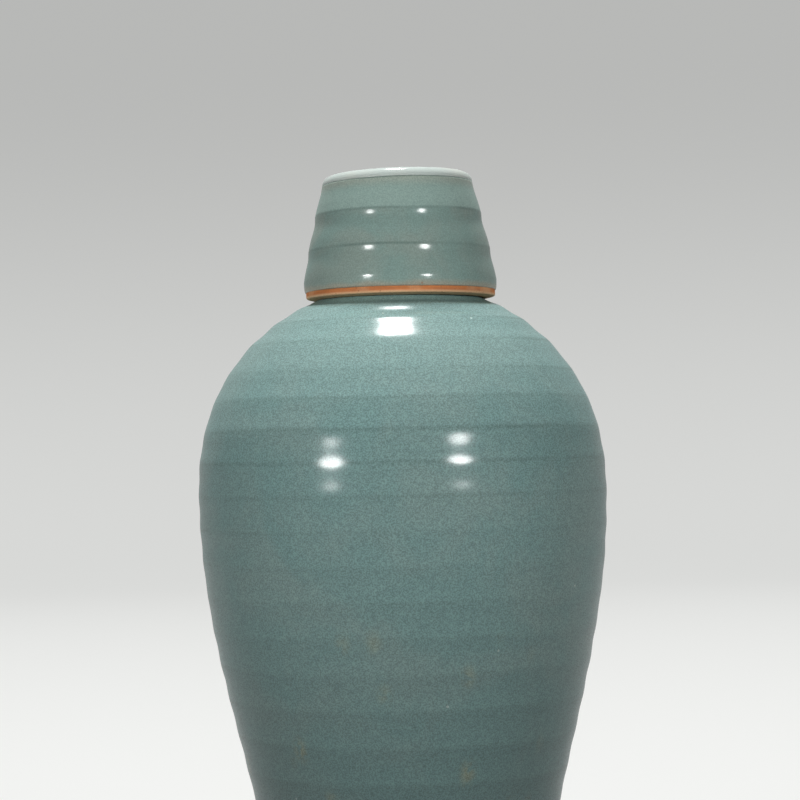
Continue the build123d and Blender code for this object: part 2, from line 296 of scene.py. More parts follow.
class StageSetup(bpy.types.PropertyGroup):
    """Camera, lamps and backdrop."""

    camera_distance: length("Camera distance", "From the vase's axis", 1003.6 * MM)
    camera_height: length("Camera height", "Above the floor", 233.7 * MM)
    camera_offset: length("Camera offset", "To the right of the vase's axis", -0.75 * MM)
    camera_pitch: angle("Camera pitch", "Upwards from level", 1.07)
    camera_roll: angle("Camera roll", "Clockwise", 1.1)
    camera_lens: number("Camera lens", "Focal length in millimetres", 108.0)
    key_power: number("Key power", "Watts of the softbox overhead", 46.0)
    key_size: length("Key size", "Side of the softbox overhead", 300 * MM)
    key_height: length("Key height", "Above the floor", 2.2)
    key_setback: length("Key setback", "Behind the vase's axis", 408 * MM)
    key_offset: length("Key offset", "To the right of the vase's axis", -51 * MM)
    front_power: number("Front power", "Watts of each front lamp", 0.2)
    front_size: length("Front size", "Width of each front lamp", 205 * MM)
    front_spread: angle("Front spread", "Cone that the front lamps are gridded to", 38)
    front_distance: length("Front distance", "From the vase's axis", 1.0)
    left_height: length("Left height", "Of the left lamp, above the floor", 0.42)
    right_height: length("Right height", "Of the right lamp, above the floor", 0.445)
    front_aim: length("Front aim", "Height that the front lamps point at", 285 * MM)
    left_bearing: angle("Left bearing", "From the camera round to the left lamp", 38.2)
    right_bearing: angle("Right bearing", "From the camera round to the right lamp", 31.8)
    back_power: number("Back power", "Watts of each lamp behind", 9.0)
    back_size: length("Back size", "Width of each lamp behind", 1.4)
    back_distance: length("Back distance", "From the vase's axis", 2.4)
    back_height: length("Back height", "Above the floor", 1.5)
    back_bearing: angle("Back bearing", "From the camera round to the lamps behind", 152)
    fill: number("Fill", "Strength of the light from all round", 0.045)
    backdrop: colour("Backdrop", "Floor and backdrop", 240, 241, 239)
    bounce: colour("Bounce", "What the backdrop returns to the vase", 90, 90, 89)
    backdrop_shade: number("Backdrop shade", "What is left of the backdrop's light high up", 0.72)
    backdrop_fade: length("Backdrop fade", "Height at which that is reached", 1.1)
    floor_gap: length("Floor gap", "Hair between the foot and the floor", 0.1 * MM)
    backdrop_radius: length("Backdrop radius", "Where the floor starts to rise", 3.0)
    backdrop_sweep: length("Backdrop sweep", "Radius of the rise", 1.5)
    backdrop_height: length("Backdrop height", "Top of the wall", 4.0)


# Outlines, as (radius, height) points


def outline_radius(vase, height):
    """Radius of the body: a cosine taper up to the belly, then a domed shoulder."""
    if height <= vase.belly_height:
        swing = cos(pi * (vase.belly_height - height) / vase.belly_height)
        return vase.foot_radius + (vase.belly_radius - vase.foot_radius) * (1 + swing) / 2
    rise = (height - vase.belly_height) / vase.dome_height
    return vase.belly_radius * sqrt(1 - rise**vase.dome_fullness)


def root_height(vase):
    """Height at which the neck meets the shoulder."""
    share = 1 - (vase.root_radius / vase.belly_radius) ** 2
    return vase.belly_height + vase.dome_height * share ** (1 / vase.dome_fullness)


def on_outline(vase, height, depth):
    """The body's point at a height, sunk square into the wall by a depth."""
    run = outline_radius(vase, height + SLOPE_STEP) - outline_radius(vase, height - SLOPE_STEP)
    rise = 2 * SLOPE_STEP
    slant = hypot(run, rise)
    return outline_radius(vase, height) - depth * rise / slant, height + depth * run / slant


def rising(values, start, span):
    """0 up to a start, then evenly up to 1 over a span."""
    return np.clip((values - start) / span, 0, 1)


def ring_heights(vase):
    """Heights of the throwing rings, upwards, in pitches that open out from the neck's root."""
    root = root_height(vase)
    fall = (root - vase.glaze_line) / STEPS_ALONG_OUTLINE
    heights = [root - fall * step for step in range(STEPS_ALONG_OUTLINE + 1)]
    reach = [0.0]
    for upper, lower in zip(heights, heights[1:]):
        reach.append(reach[-1] + hypot(outline_radius(vase, upper) - outline_radius(vase, lower), fall))
    pitches = [vase.ring_pitch]
    while sum(pitches) + pitches[-1] / 2 < reach[-1]:
        pitches.append(pitches[-1] + vase.ring_growth)
    marks = np.cumsum(pitches[:-1]) * reach[-1] / sum(pitches)
    inner = np.interp(marks, reach, heights)
    shoulder = vase.belly_height + CREEP_START * vase.dome_height
    inner += vase.ring_creep * np.sin(pi * rising(inner, shoulder, root - shoulder))
    return [vase.glaze_line, *inner[::-1], root]


def body_outside(vase, depth, samples):
    """The body's wall at a depth, from the glaze line to the neck's root, with points on every ring."""
    rings = ring_heights(vase)
    points = []
    for low, high in zip(rings, rings[1:]):
        for step in range(samples):
            points.append(on_outline(vase, low + (high - low) * step / samples, depth))
    return points + [on_outline(vase, rings[-1], depth)]


def cove(waist, end, samples):
    """An arc that leaves the waist upright and reaches another point of the neck."""
    out = end[0] - waist[0]
    rise = end[1] - waist[1]
    bend = (out**2 + rise**2) / (2 * out)
    climbs = [rise * step / samples for step in range(1, samples + 1)]
    return [(waist[0] + bend - sqrt(bend**2 - climb**2), waist[1] + climb) for climb in climbs]


def arc(centre, radius, start, end, samples):
    """Points round a centre, between two angles in degrees, both ends included."""
    angles = [radians(start + (end - start) * step / samples) for step in range(samples + 1)]
    return [(centre[0] + radius * cos(swing), centre[1] + radius * sin(swing)) for swing in angles]


def neck_outside(vase, depth, samples):
    """The neck at a depth: from its root in to the waist, out to the lip and over its roll."""
    root = on_outline(vase, root_height(vase), depth)
    waist = (vase.waist_radius - depth, root_height(vase) + vase.waist_rise)
    roll = (vase.lip_radius - vase.lip_roll, vase.lip_height - vase.lip_roll)
    under_lip = (roll[0], roll[1] - vase.lip_roll + depth)
    up_to_waist = cove(waist, root, samples)[::-1][1:]
    up_to_lip = cove(waist, under_lip, samples)
    over_lip = arc(roll, vase.lip_roll - depth, -90, 90, samples)[1:]
    return up_to_waist + [waist] + up_to_lip + over_lip


def vase_inside(vase, glaze, crest):
    """The hollow under some glaze: from the floor's middle up the wall and the throat to the crest."""
    depth = vase.coat + vase.wall + glaze
    throat = vase.throat_radius + vase.liner - glaze
    floor = vase.floor_height + glaze
    corner = vase.floor_corner - glaze
    samples = vase.band_samples
    wall_foot = outline_radius(vase, floor) - depth
    points = [(0.0, floor), *arc((wall_foot - corner, floor + corner), corner, -90, -10, samples // 2)]
    start = floor + 2 * corner
    climb = root_height(vase) - start
    wall_samples = 4 * samples
    for step in range(wall_samples + 1):
        points.append(on_outline(vase, start + climb * step / wall_samples, depth))
    flare = vase.lip_radius - vase.lip_roll - throat
    points.append((throat, points[-1][1]))
    return points + arc((throat + flare, crest - flare), flare, 180, 90, samples)


def lid_belly(lid):
    """Height of the lid's greatest radius."""
    return lid.rim_height + lid.belly_rise


def lid_radius(lid, height):
    """Radius of the lid's wall between its belly and the white edge."""
    share = (height - lid_belly(lid)) / (lid.edge_height - lid_belly(lid))
    taper = lid.belly_radius - (lid.belly_radius - lid.crown_radius) * share
    return taper + 4 * lid.bow * share * (1 - share)


def lid_rings(lid):
    """Heights of the lid's rings, upwards."""
    return [lid_belly(lid), lid.lower_ring, lid.upper_ring, lid.edge_height]


def lid_outside(lid, depth, samples):
    """The lid's ringed wall at a depth, from its belly up to the white edge."""
    rings = lid_rings(lid)
    sinks = [lid.ring_depth * share for share in (lid.low_band, 1.0, lid.top_band)]
    points = []
    for low, high, sink in zip(rings, rings[1:], sinks):
        for step in range(samples):
            share = step / samples
            height = low + (high - low) * share
            hollow = sink * sin(pi * share**lid.ring_overhang) ** lid.ring_softness
            points.append((lid_radius(lid, height) - depth - hollow, height))
    return points + [(lid.crown_radius - depth, lid.edge_height)]


def lid_foot(lid, samples):
    """The lid's celadon below the belly: rounded out from its thin lip at the glaze line."""
    lip = lid.belly_radius - lid.coat + lid.glaze_lip
    swell = lid.coat - lid.glaze_lip
    climb = lid_belly(lid) - lid.glaze_line
    points = []
    for step in range(samples):
        share = step / samples
        points.append((lip + swell * sqrt(1 - (1 - share) ** 2), lid.glaze_line + climb * share))
    return points


def lid_crown(lid, depth, samples):
    """The lid's rounded edge and slightly domed top at a depth, from the white line in to the axis."""
    shelf = lid.crown_radius - lid.edge_rounding
    points = arc((shelf, lid.edge_height), lid.edge_rounding - depth, 0, 90, samples)
    level = points[-1][1]
    for step in range(1, samples + 1):
        radius = shelf * (1 - step / samples)
        points.append((radius, level + lid.dome_rise * (1 - (radius / shelf) ** 2)))
    return points


def lid_inside(lid, depth, foot, samples):
    """The lid's hollow at a depth: from the ceiling's middle out and down to a height near the rim."""
    inset = lid.coat + lid.wall + depth
    bore = lid.belly_radius - inset
    ceiling_radius = lid_radius(lid, lid.ceiling) - inset
    corner = lid.ceiling_corner
    top = lid.ceiling - depth
    points = [(0.0, top), *arc((ceiling_radius - corner, top - corner), corner, 90, 10, samples)]
    return points + [(bore, lid_belly(lid)), (bore, foot)]


# Modelling


def turn(name, outline, steps):
    """Draws an outline point by point with extrude and spins it about the vase's axis."""
    bpy.ops.object.select_all(action="DESELECT")
    bpy.ops.mesh.primitive_plane_add(size=PLATE_SIZE, location=(0, 0, 0))
    piece = bpy.context.active_object
    piece.name = name
    piece.data.name = name
    bpy.ops.object.mode_set(mode="EDIT")
    bpy.ops.mesh.select_mode(type="VERT")
    bpy.ops.mesh.merge(type="CENTER")
    bpy.ops.transform.translate(value=(outline[0][0], 0, outline[0][1]))
    for start, end in zip(outline, outline[1:]):
        move = (end[0] - start[0], 0, end[1] - start[1])
        bpy.ops.mesh.extrude_region_move(TRANSFORM_OT_translate={"value": move})
    bpy.ops.mesh.select_all(action="SELECT")
    bpy.ops.mesh.spin(steps=steps, angle=TURN, center=(0, 0, 0), axis=(0, 0, 1))
    bpy.ops.mesh.select_all(action="SELECT")
    bpy.ops.mesh.remove_doubles(threshold=MERGE_DISTANCE)
    bpy.ops.mesh.normals_make_consistent(inside=False)
    bpy.ops.object.mode_set(mode="OBJECT")
    bpy.ops.object.shade_smooth()
    return piece


def points_of(piece):
    """The x, y and z of all of a piece's points, as three rows."""
    places = np.zeros(3 * len(piece.data.vertices))
    piece.data.vertices.foreach_get("co", places)
    return places.reshape(-1, 3).T


def section(piece):
    """Radius and height of each of a piece's points."""
    x, y, height = points_of(piece)
    return np.hypot(x, y), height


def note(piece, name, values):
    """Keeps a number for each point of a piece, which a finish can read."""
    kept = piece.data.attributes.new(name, "FLOAT", "POINT")
    kept.data.foreach_set("value", np.asarray(values, np.float32))


def note_rings(piece, rings):
    """Keeps each point's distance to the nearest ring, in millimetres."""
    radius, height = section(piece)
    gaps = [np.hypot(radius - ring[0], height - ring[1]) for ring in rings]
    note(piece, "ring_gap", np.min(gaps, axis=0) / MM)


def weigh(piece, name, weights):
    """Makes a vertex group with one weight for each point."""
    group = piece.vertex_groups.new(name=name)
    for index, weight in enumerate(weights):
        group.add([index], float(weight), "REPLACE")


def reshape(piece, kind, settings):
    """Changes a piece's mesh with a modifier that is added, set and applied."""
    bpy.context.view_layer.objects.active = piece
    bpy.ops.object.modifier_add(type=kind)
    modifier = piece.modifiers[-1]
    for name, value in settings.items():
        setattr(modifier, name, value)
    bpy.ops.object.modifier_apply(modifier=modifier.name)


def fingering(vase, piece):
    """Each point's share of the way up its band, how hard it was fingered, and the shoulder's extra."""
    x, y, height = points_of(piece)
    bearing = np.arctan2(y, x)
    rings = np.array(ring_heights(vase))
    climb = np.interp(height, rings, np.arange(len(rings)))
    band = np.floor(climb)
    shallow = rising(height, FALL_END * vase.belly_height, FALL_SPAN * vase.belly_height)
    strength = vase.ring_fall + (1 - vase.ring_fall) * shallow
    high = rising((height - vase.belly_height) / vase.dome_height, SHOULDER_START, SHOULDER_SPAN)
    front = vase.ring_front + (1 - vase.ring_front) * high
    strength *= front + (1 - front) * np.cos(bearing) ** 2
    # Bands go in pairs, and pair 0 is the two bands under the mark
    pair = np.floor((band - np.argmin(np.abs(rings - vase.mark_height)) + 2) / 2)
    strength *= 1 - UNEVENNESS + UNEVENNESS * np.sin(2 * bearing + pi + PAIR_PHASE * pair)
    strength = np.where(pair == 0, np.minimum(MARK_GAIN * strength, 1), strength)
    return climb - band, strength, 1 + (vase.ring_shoulder - 1) * high


def finger_rings(vase, piece):
    """Sinks the bands of the body's outer face between its rings."""
    share, strength, extra = fingering(vase, piece)
    radius, height = section(piece)
    dome_end = vase.belly_height + DOME_END * vase.dome_height
    smooth = np.array([outline_radius(vase, min(level, dome_end)) for level in height])
    outer = (np.abs(radius - smooth) < OUTER_SKIN * vase.coat) & (radius > vase.root_radius)
    depth = strength * extra / vase.ring_shoulder * np.sin(pi * share) ** vase.ring_softness
    weigh(piece, "fingered", np.where(outer, depth, 0))
    deepest = vase.ring_depth * vase.ring_shoulder
    reshape(piece, "DISPLACE", {"strength": -deepest, "mid_level": 0, "vertex_group": "fingered"})
    note(piece, "ring_mark", strength)
    # band_rise is each point's share up its band, which the finish turns into painted shade
    note(piece, "band_rise", np.where(outer, share, MID_BAND))


def stray(piece, name, direction, reach, grain, group):
    """Moves the points of a piece by soft noise, as a hand does on the wheel."""
    noise = bpy.data.textures.new(name, "CLOUDS")
    noise.noise_scale = grain
    noise.noise_depth = 1
    settings = {
        "texture": noise,
        "texture_coords": "LOCAL",
        "direction": direction,
        "strength": reach,
        "mid_level": NOISE_MIDDLE,
        "vertex_group": group,
    }
    reshape(piece, "DISPLACE", settings)


def settle_lid(piece, lid):
    """Sets a piece of the lid off centre and leans it to the left, with its top out of level."""
    low = Vector((-lid.belly_radius, -lid.belly_radius, lid.rim_height))
    high = Vector((lid.belly_radius, lid.belly_radius, lid.top))
    bpy.ops.object.add(type="LATTICE", location=(low + high) / 2)
    cage = bpy.context.active_object
    cage.scale = high - low
    cage.data.interpolation_type_w = "KEY_LINEAR"
    for point in cage.data.points:
        point.co_deform.x += lid.shift / cage.scale.x
        if point.co.z > 0:
            point.co_deform.x -= lid.lean / cage.scale.x
            rise = point.co.x * lid.tilt - point.co.y * lid.tip - lid.sink
            point.co_deform.z += rise / cage.scale.z
    reshape(piece, "LATTICE", {"object": cage})
    bpy.data.objects.remove(cage)


def set_on_body(piece, body, slot, finish, *nodes):
    """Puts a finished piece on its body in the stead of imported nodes."""
    piece.data.materials.append(finish)
    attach(piece, body)
    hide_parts(*nodes)


# Finishes


class Wire:
    """An output socket. Arithmetic between wires and numbers adds Math nodes."""

    def __init__(self, recipe, socket):
        self.recipe = recipe
        self.socket = socket

    def reckon(self, operation, first, second):
        return self.recipe.node("ShaderNodeMath", {"operation": operation}, {0: first, 1: second})

    def __add__(self, other):
        return self.reckon("ADD", self, other)

    def __radd__(self, other):
        return self.reckon("ADD", other, self)

    def __sub__(self, other):
        return self.reckon("SUBTRACT", self, other)

    def __rsub__(self, other):
        return self.reckon("SUBTRACT", other, self)

    def __mul__(self, other):
        return self.reckon("MULTIPLY", self, other)

    def __rmul__(self, other):
        return self.reckon("MULTIPLY", other, self)


class Recipe:
    """The nodes of one finish or of the surroundings."""

    def __init__(self, owner):
        owner.use_nodes = True
        self.tree = owner.node_tree
        self.tree.nodes.clear()

    def node(self, kind, settings, sockets, output=0):
        """Adds a node: settings, then numbers, colours or wires for its sockets. Gives one output."""
        node = self.tree.nodes.new(kind)
        for setting, value in settings.items():
            setattr(node, setting, value)
        for key, value in sockets.items():
            if isinstance(value, Wire):
                self.tree.links.new(value.socket, node.inputs[key])
            elif isinstance(value, (int, float, tuple)):
                node.inputs[key].default_value = value
            else:
                node.inputs[key].default_value = (*value, 1.0)
        return Wire(self, node.outputs[output]) if node.outputs else None

    def where(self):
        """The place on the piece, in metres."""
        return self.node("ShaderNodeTexCoord", {}, {}, "Object")

    def height(self, place):
        """Height of a place above the floor."""
        return self.node("ShaderNodeSeparateXYZ", {}, {0: place}, "Z")

    def noted(self, name):
        """A number that was kept for each point."""
        return self.node("ShaderNodeAttribute", {"attribute_name": name}, {}, "Fac")

    def noise(self, place, grain, detail=2.0, roughness=0.5, distortion=0.0):
        """Soft noise about NOISE_MIDDLE, with clouds of a size in metres."""
        sockets = {"Vector": place, "Scale": 1 / grain, "Detail": detail, "Roughness": roughness}
        sockets["Distortion"] = distortion
        return self.node("ShaderNodeTexNoise", {}, sockets)

    def cells(self, place, size, feature, output):
        """Cells of a size in metres: distance from a cell's middle or edge, or the cell's shade."""
        sockets = {"Vector": place, "Scale": 1 / size}
        return self.node("ShaderNodeTexVoronoi", {"feature": feature}, sockets, output)

    def dots(self, place, size, inner, outer, bare_below, most):
        """Round marks in the middle of cells, which fade outwards. Cells below a shade stay bare."""
        mark = self.fade(self.cells(place, size, "F1", "Distance"), inner, outer, most)
        shade = self.cells(place, size, "F1", "Color")
        return mark * self.ease(shade, bare_below, bare_below + SHADE_STEP)

    def ease(self, value, low, high, start=0.0, end=1.0):
        """Goes smoothly from one number to another while a value goes from low to high."""
        sockets = {0: value, 1: low, 2: high, 3: start, 4: end}
        return self.node("ShaderNodeMapRange", {"interpolation_type": "SMOOTHSTEP"}, sockets)

    def fade(self, value, low, high, most=1.0):
        """Goes smoothly from a number down to 0 while a value goes from low to high."""
        return self.ease(value, low, high, most, 0.0)

    def blend(self, share, first, second):
        """Colour between two colours."""
        return self.node("ShaderNodeMix", {"data_type": "RGBA"}, {0: share, 6: first, 7: second}, 2)

    def shade(self, tint, strength):
        """A colour made lighter or darker."""
        return self.node("ShaderNodeVectorMath", {"operation": "SCALE"}, {0: tint, "Scale": strength})

    def stretch(self, place, scale):
        """A place scaled along the axes, which draws a pattern out where the scale is under 1."""
        return self.node("ShaderNodeVectorMath", {"operation": "MULTIPLY"}, {0: place, 1: scale})

    def relief(self, height, depth):
        """A surface normal from a height, for a depth in metres."""
        return self.node("ShaderNodeBump", {}, {"Height": height, "Distance": depth, "Strength": 1.0})

    def surface(self, sockets):
        """Ends a finish in one principled surface."""
        shader = self.node("ShaderNodeBsdfPrincipled", {}, sockets)
        self.node("ShaderNodeOutputMaterial", {}, {"Surface": shader})


def new_finish(name):
    """An empty material and its recipe."""
    material = bpy.data.materials.new(name)
    return material, Recipe(material)


def crackled(recipe, place, tint, line_colour, fine, coarse, strength):
    """A glaze colour with two sizes of crackle."""
    jitter = recipe.noise(place, 2 * coarse)
    fine_line = recipe.fade(recipe.cells(place, fine, "DISTANCE_TO_EDGE", "Distance"), *FINE_LINE)
    coarse_line = recipe.fade(recipe.cells(place, coarse, "DISTANCE_TO_EDGE", "Distance"), *COARSE_LINE)
    lines = fine_line * FINE_SHARE + coarse_line * (1 - FINE_SHARE)
    lines = lines * recipe.ease(jitter, 0.3, 0.6, start=0.5)
    return recipe.blend(lines * strength, tint, line_colour)


def glazed(recipe, place, tint, gloss, contrast):
    """Ends a finish as glossy glaze: a clear coat over a softer base, with a fine grain of bubbles."""
    grain = recipe.noise(place, GLAZE_GRAIN, detail=1.0, roughness=0.6)
    grain = recipe.ease(grain, *GRAIN_LEVELS)
    curd = recipe.noise(place, CURD_GRAIN, roughness=0.6)
    peel = recipe.noise(place, PEEL_GRAIN)
    speckle = (grain + curd * CURD_SHARE) * contrast
    recipe.surface(
        {
            "Base Color": recipe.shade(tint, 1 - SPECKLE_MEAN * contrast + speckle),
            "Roughness": gloss,
            "Normal": recipe.relief(peel * PEEL_DEPTH + grain * GRAIN_DEPTH, MM),
            "Specular IOR Level": 0.0,
            "Coat Weight": COAT_WEIGHT,
            "Coat IOR": COAT_IOR,
            "Coat Roughness": COAT_ROUGHNESS,
        }
    )


def celadon_finish(colours):
    """Blue-green glaze of the body: clouded, crackled, dark along the rings, with ochre smudges, a
    painted sheen greying the shoulder and painted shade towards the foot and below each ring low down.
    """
    material, recipe = new_finish("celadon_glaze")
    place = recipe.where()
    height = recipe.height(place)
    clouds = recipe.noise(place, 34 * MM, detail=3.0, roughness=0.55, distortion=0.6)
    drift = recipe.noise(place, 110 * MM)
    tint = recipe.blend(recipe.ease(clouds, *CLOUD_LEVELS), colours.celadon, colours.celadon_grey)
    # Painted sheen: the glaze is greyed from the shoulder up
    tint = recipe.blend(recipe.ease(height, *SHEEN_SHOULDER, end=0.7), tint, colours.celadon_grey)
    # Thick glaze in random drifts, plus painted shade that deepens the colour towards the foot
    thick = recipe.ease(drift, 0.35, 0.7, end=0.35) + recipe.fade(height, *SHADED_FOOT, most=0.6)
    tint = recipe.blend(thick, tint, colours.celadon_deep)
    sides = recipe.noise(recipe.stretch(place, (1.0, 1.0, 0.5)), 60 * MM)
    line = recipe.fade(recipe.noted("ring_gap"), *RING_LINE, most=0.4) * recipe.noted("ring_mark")
    line = line * recipe.ease(sides, 0.3, 0.65, start=0.15)
    tint = recipe.blend(line, tint, colours.ring_line)
    # Painted shade: low on the body each band is darker towards its upper ring and lighter towards its
    # lower ring
    band_shade = recipe.ease(sides, 0.25, 0.75, start=0.05, end=0.1)
    band_shade = band_shade * recipe.ease(height, *SHADED_BANDS, start=1.8, end=0.3)
    band_shade = band_shade * (recipe.noted("band_rise") - MID_BAND)
    tint = crackled(recipe, place, tint, colours.crackle, fine=1.5 * MM, coarse=5 * MM, strength=0.2)
    tint = recipe.shade(tint, 1 - band_shade)
    patch = recipe.noise(place, 3 * MM)
    runs = recipe.stretch(place, (1.0, 1.0, 0.6))
    stain = recipe.dots(runs, 14 * MM, inner=0.03, outer=0.36, bare_below=0.42, most=0.6)
    stain = stain * recipe.fade(height, *STAINED_FOOT) * recipe.ease(patch, 0.3, 0.55)
    tint = recipe.blend(stain, tint, colours.stain)
    fleck = recipe.dots(place, 14 * MM, *SMALL_DOT, bare_below=0.5, most=0.6)
    tint = recipe.blend(fleck, tint, colours.fleck)
    gloss = recipe.ease(clouds, *WIDE_LEVELS, start=0.28, end=0.38)
    glazed(recipe, place, tint, gloss, contrast=0.44)
    return material


def lid_celadon_finish(colours, lid):
    """Greyer glaze of the lid: its top band paler as painted light from above, clouded under the white
    edge and warm at its foot.
    """
    material, recipe = new_finish("lid_celadon")
    place = recipe.where()
    clouds = recipe.noise(place, 22 * MM, detail=3.0, roughness=0.55, distortion=0.5)
    share = recipe.ease(clouds, *CLOUD_LEVELS)
    tint = recipe.blend(share, colours.lid_celadon, colours.lid_celadon_grey)
    # Distances up from the glaze line and down from the white edge are in millimetres
    up = recipe.noted("climb")
    down = (lid.edge_height - lid.glaze_line) / MM - up
    wander = recipe.noise(place, 9 * MM) - NOISE_MIDDLE
    band = (lid.upper_ring - lid.glaze_line) / MM
    # Painted light: the band above the upper ring is made paler, as if lit from above
    upper = recipe.ease(up + wander * 1.5, band - 1.0, band + 1.0, end=0.85)
    tint = recipe.blend(upper, tint, colours.lid_lit_top)
    tint = recipe.blend(recipe.fade(up + wander * 3.0, 0.2, 3.2, most=0.7), tint, colours.thin_glaze)
    tint = recipe.blend(recipe.fade(down + wander * 2.0, 0.2, 5.0, most=0.8), tint, colours.lid_fringe)
    tint = recipe.blend(recipe.fade(down, 0.1, 0.7, most=0.45), tint, colours.ring_line)
    sides = recipe.noise(place, 30 * MM)
    line = recipe.fade(recipe.noted("ring_gap"), *LID_RING_LINE, most=0.55)
    line = line * recipe.ease(sides, 0.3, 0.6, start=0.35)
    tint = recipe.blend(line, tint, colours.ring_line)
    tint = crackled(recipe, place, tint, colours.crackle, fine=1.3 * MM, coarse=4 * MM, strength=0.15)
    speck = recipe.dots(place, 12 * MM, *SMALL_DOT, bare_below=0.5, most=0.5)
    tint = recipe.blend(speck, tint, colours.clay_dark)
    gloss = recipe.ease(clouds, *WIDE_LEVELS, start=0.25, end=0.35)
    glazed(recipe, place, tint, gloss, contrast=0.2)
    return material


def white_finish(colours):
    """White glaze of the lid's top, cooler where it lies thick."""
    material, recipe = new_finish("white_glaze")
    place = recipe.where()
    pool = recipe.noise(place, 18 * MM)
    tint = recipe.blend(recipe.ease(pool, 0.35, 0.65), colours.white, colours.white_thick)
    pit = recipe.cells(place, 7 * MM, "F1", "Distance")
    tint = recipe.shade(tint, recipe.ease(pit, 0.02, 0.07, start=0.86))
    gloss = recipe.ease(pool, *WIDE_LEVELS, start=0.22, end=0.3)
    glazed(recipe, place, tint, gloss, contrast=0.05)
    return material


def liner_finish(colours):
    """Thin glaze of the insides, with the clay's warmth in it."""
    material, recipe = new_finish("liner_glaze")
    place = recipe.where()
    clouds = recipe.noise(place, 25 * MM, detail=3.0)
    tint = recipe.blend(recipe.ease(clouds, 0.4, 0.75, end=0.35), colours.liner, colours.thin_glaze)
    tint = crackled(recipe, place, tint, colours.crackle, fine=2 * MM, coarse=6 * MM, strength=0.2)
    gloss = recipe.ease(clouds, *WIDE_LEVELS, start=0.28, end=0.38)
    glazed(recipe, place, tint, gloss, contrast=0.18)
    return material


def clay_finish(name, colours, wear):
    """Bare fired clay: turned streaks, iron specks and grit, paler on an edge worn up to a height."""
    material, recipe = new_finish(name)
    place = recipe.where()
    streaks = recipe.noise(recipe.stretch(place, (0.25, 0.25, 3.0)), 5 * MM, detail=3.0, roughness=0.6)
    patches = recipe.noise(place, 12 * MM, detail=3.0)
    grit = recipe.noise(place, 0.7 * MM, roughness=0.7)
    tint = recipe.blend(recipe.ease(streaks, *WIDE_LEVELS, end=0.5), colours.clay, colours.clay_dark)
    tint = recipe.blend(recipe.ease(patches, 0.45, 0.7, end=0.45), tint, colours.clay_pale)
    ragged = recipe.height(place) + (patches - NOISE_MIDDLE) * WEAR_WANDER
    tint = recipe.blend(recipe.fade(ragged, *wear, most=0.85), tint, colours.clay_pale)
    speck = recipe.cells(place, 2.2 * MM, "F1", "Distance")
    tint = recipe.blend(recipe.fade(speck, 0.08, 0.2, most=0.6), tint, colours.clay_dark)
    recipe.surface(
        {
            "Base Color": recipe.shade(tint, 1 + (grit - NOISE_MIDDLE) * GRIT_CONTRAST),
            "Roughness": recipe.ease(patches, *WIDE_LEVELS, start=0.7, end=0.85),
            "Normal": recipe.relief(grit * GRIT_SHARE + streaks * (1 - GRIT_SHARE), CLAY_RELIEF),
        }
    )
    return material


def slip_finish(colours):
    """Joining slip: smoother and paler than the clay."""
    material, recipe = new_finish("joining_slip")
    place = recipe.where()
    smear = recipe.noise(recipe.stretch(place, (0.4, 0.4, 1.0)), 8 * MM, detail=3.0)
    tint = recipe.blend(recipe.ease(smear, *WIDE_LEVELS), colours.slip, colours.clay)
    recipe.surface({"Base Color": tint, "Roughness": 0.8, "Normal": recipe.relief(smear, SLIP_RELIEF)})
    return material


# Operators


class COVERED_VASE_OT_coat(bpy.types.Operator):
    """Turn the celadon coat of the body and neck"""

    bl_idname = "covered_vase.coat"
    bl_label = "Body Glaze"

    def execute(self, context):
        vase = context.scene.vase_sizes
        samples = vase.band_samples
        outside = body_outside(vase, 0, samples) + neck_outside(vase, 0, samples)
        # The face on the clay is hidden, so it has fewer points
        inside = body_outside(vase, vase.coat, samples // 6) + neck_outside(vase, vase.coat, samples // 2)
        roll = vase.coat / 2
        foot = arc((outside[0][0] - roll, vase.glaze_line + roll), roll, 180, 360, ROLL_SAMPLES)
        piece = turn("vase_glaze", foot + outside[1:] + inside[:0:-1] + foot[:1], vase.steps)
        finger_rings(vase, piece)
        note_rings(piece, [on_outline(vase, height, 0) for height in ring_heights(vase)[1:-1]])
        height = points_of(piece)[2]
        upright = rising(height, vase.glaze_line, STILL_FOOT)
        upright *= np.sqrt(rising(root_height(vase) - height, 0, STILL_NECK))
        weigh(piece, "upright", upright)
        stray(piece, "ring_sway", "Z", vase.ring_sway, SWAY_GRAIN, "upright")
        stray(piece, "wall_wobble", "NORMAL", vase.wall_wobble, WOBBLE_GRAIN, "upright")
        finish = celadon_finish(context.scene.vase_finishes)
        set_on_body(piece, "vase", "celadon_glaze", finish, "outer_glaze")
        return {"FINISHED"}


class COVERED_VASE_OT_liner(bpy.types.Operator):
    """Turn the glaze inside the vase, from the floor up through the mouth to the lip"""

    bl_idname = "covered_vase.liner"
    bl_label = "Inner Glaze"

    def execute(self, context):
        vase = context.scene.vase_sizes
        glaze = vase_inside(vase, vase.liner, vase.lip_height)
        clay = vase_inside(vase, 0, vase.lip_height - vase.coat)
        piece = turn("vase_liner", glaze + clay[::-1], vase.steps // 2)
        finish = liner_finish(context.scene.vase_finishes)
        set_on_body(piece, "vase", "liner_glaze", finish, "inner_glaze")
        return {"FINISHED"}


class COVERED_VASE_OT_foot(bpy.types.Operator):
    """Turn the bare foot ring, with the slip that joins it to the base"""

    bl_idname = "covered_vase.foot"
    bl_label = "Foot Ring"

    def execute(self, context):
        vase = context.scene.vase_sizes
        outer = FOOT_HIGH.x
        inner = outer - vase.foot_width
        edge = vase.foot_edge
        outline = arc((inner + edge, edge), edge, 180, 270, EDGE_SAMPLES)
        outline += arc((outer - edge, edge), edge, 270, 360, EDGE_SAMPLES)
        outline += [(outer, vase.glaze_line), (inner, vase.glaze_line)]
        piece = turn("foot", outline + outline[:1], vase.steps // 2)
        finish = clay_finish("foot_clay", context.scene.vase_finishes, FOOT_WEAR)
        set_on_body(piece, "vase", "stoneware", finish, "foot_ring", "foot_slip")
        return {"FINISHED"}


